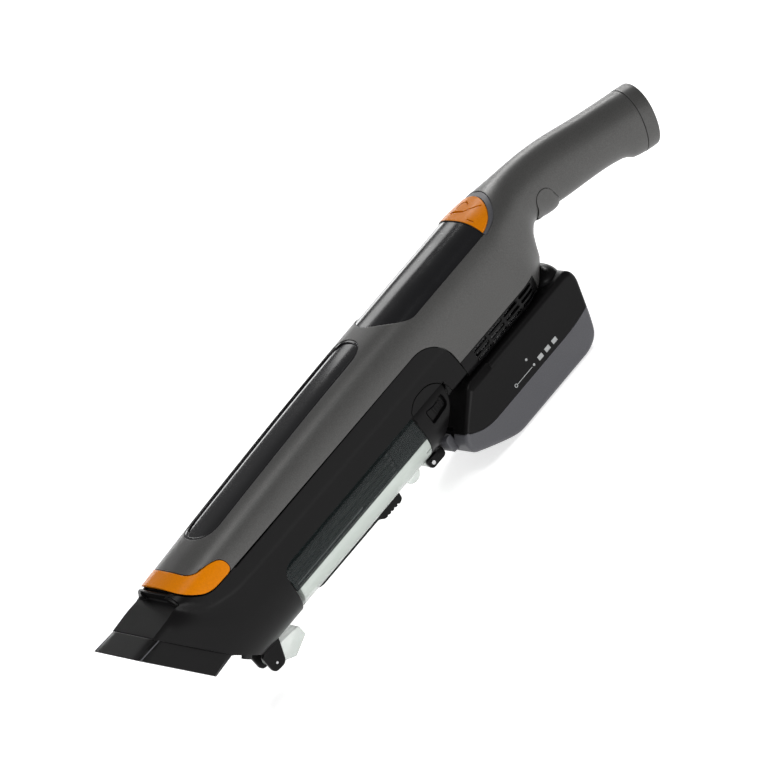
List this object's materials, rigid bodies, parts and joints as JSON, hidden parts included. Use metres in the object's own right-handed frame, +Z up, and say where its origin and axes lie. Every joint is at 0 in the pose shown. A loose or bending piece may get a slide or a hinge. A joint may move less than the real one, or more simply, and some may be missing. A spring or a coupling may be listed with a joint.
{
  "type": "handheld vacuum",
  "caption": "Slim cordless hand vacuum with clear dust cup, slanted nozzle, drooping handle and slide-on battery.",
  "frame": {"origin": "under the middle of the bounding box, on the battery's flat base", "axes": "+X from the nozzle to the handle's end, +Z up through the display, +Y to the right-hand side seen from the handle"},
  "size_m": [0.5401, 0.0704, 0.1253],
  "materials": {
    "titanium_grey": "matt, faint metallic",
    "black_plastic": "satin",
    "gloss_black": "polished",
    "orange_plastic": "tinted, semi-gloss",
    "slate_grey": "satin",
    "light_grey": "satin",
    "smoked_clear": "smoked transparent",
    "clear": "clear transparent",
    "filter_media": "pleated paper",
    "rubber": "matt",
    "steel": "bright",
    "board": "solder mask",
    "cell": "shrink wrap"
  },
  "bodies": {
    "body": {"housing_left": "titanium_grey", "housing_right": "titanium_grey", "handle_end_cap": "titanium_grey", "chassis": "black_plastic", "inlet_duct": "black_plastic", "cup_cap": "black_plastic", "filter_frame": "black_plastic", "hinge_bracket": "black_plastic", "vent_grille_left": "black_plastic", "vent_grille_right": "black_plastic", "fan_shroud": "black_plastic", "motor_tray": "black_plastic", "trigger_switch": "black_plastic", "terminal_block": "black_plastic", "inlay_strip": "gloss_black", "display_lens": "gloss_black", "button_rim": "slate_grey", "dust_cup": "smoked_clear", "pleated_filter": "filter_media", "filter_gasket": "rubber", "motor_mount_front": "rubber", "motor_mount_rear": "rubber", "nose_pad_left": "rubber", "nose_pad_right": "rubber", "motor_can": "steel", "lid_hinge_pin": "steel", "latch_pin": "steel", "nose_latch_spring": "steel", "button_spring": "steel", "trigger_spring": "steel", "case_screw_1": "steel", "case_screw_2": "steel", "case_screw_3": "steel", "control_board": "board", "display_board": "board"},
    "nozzle": {"nozzle": "black_plastic"},
    "nose_latch": {"nose_latch": "orange_plastic"},
    "power_button": {"power_button": "orange_plastic"},
    "trigger": {"trigger": "titanium_grey"},
    "cup_button_left": {"cup_button_left": "black_plastic"},
    "cup_button_right": {"cup_button_right": "black_plastic"},
    "dust_lid": {"dust_lid": "clear"},
    "lid_slider": {"lid_slider": "black_plastic"},
    "lid_latch": {"lid_latch": "clear"},
    "battery": {"battery_housing": "black_plastic", "battery_cover": "slate_grey", "battery_board": "board", "charge_lens": "light_grey", "battery_cell_1": "cell", "battery_cell_2": "cell", "battery_cell_3": "cell", "battery_cell_4": "cell", "battery_cell_5": "cell", "battery_cell_6": "cell", "battery_cell_7": "cell"},
    "battery_clip": {"battery_clip": "black_plastic"},
    "fan": {"motor_shaft": "steel", "impeller": "light_grey"},
    "inlet_flap": {"inlet_flap": "rubber"}
  },
  "joints": [
    {"name": "nozzle_pull", "type": "slide", "parent": "body", "child": "nozzle", "axis": [-1, 0, 0], "range_m": [0, 0.04]},
    {"name": "nose_latch_press", "type": "hinge", "parent": "body", "child": "nose_latch", "pos_m": [-0.187, 0, 0.1055], "axis": [0, -1, 0], "range_deg": [0, 1.5], "stiffness_Nm_per_rad": 1.5},
    {"name": "power_button_press", "type": "slide", "parent": "body", "child": "power_button", "axis": [0, 0, -1], "range_m": [0, 0.0015], "stiffness_N_per_m": 900},
    {"name": "trigger_squeeze", "type": "hinge", "parent": "body", "child": "trigger", "pos_m": [0.1625, 0, 0.09], "axis": [0, -1, 0], "range_deg": [0, 8], "stiffness_Nm_per_rad": 0.6},
    {"name": "cup_button_left_press", "type": "slide", "parent": "body", "child": "cup_button_left", "axis": [0, 1, 0], "range_m": [0, 0.002], "stiffness_N_per_m": 700},
    {"name": "cup_button_right_press", "type": "slide", "parent": "body", "child": "cup_button_right", "axis": [0, -1, 0], "range_m": [0, 0.002], "stiffness_N_per_m": 700},
    {"name": "dust_lid_swing", "type": "hinge", "parent": "body", "child": "dust_lid", "pos_m": [-0.019, 0, 0.0243], "axis": [0, -1, 0], "range_deg": [0, 75]},
    {"name": "lid_slider_push", "type": "slide", "parent": "dust_lid", "child": "lid_slider", "axis": [1, 0, 0], "range_m": [0, 0.006]},
    {"name": "lid_latch_pull", "type": "hinge", "parent": "body", "child": "lid_latch", "pos_m": [-0.194, 0, 0.017], "axis": [0, 1, 0], "range_deg": [0, 35], "stiffness_Nm_per_rad": 0.05},
    {"name": "battery_slide", "type": "slide", "parent": "body", "child": "battery", "axis": [1, 0, 0], "range_m": [0, 0.07]},
    {"name": "battery_clip_press", "type": "slide", "parent": "battery", "child": "battery_clip", "axis": [1, 0, 0], "range_m": [0, 0.0025], "stiffness_N_per_m": 900},
    {"name": "fan_spin", "type": "hinge", "parent": "body", "child": "fan", "pos_m": [0.04, 0, 0.084], "axis": [1, 0, 0], "continuous": true},
    {"name": "inlet_flap_swing", "type": "hinge", "parent": "body", "child": "inlet_flap", "pos_m": [-0.154, 0, 0.085], "axis": [0, -1, 0], "range_deg": [0, 50]}
  ]
}
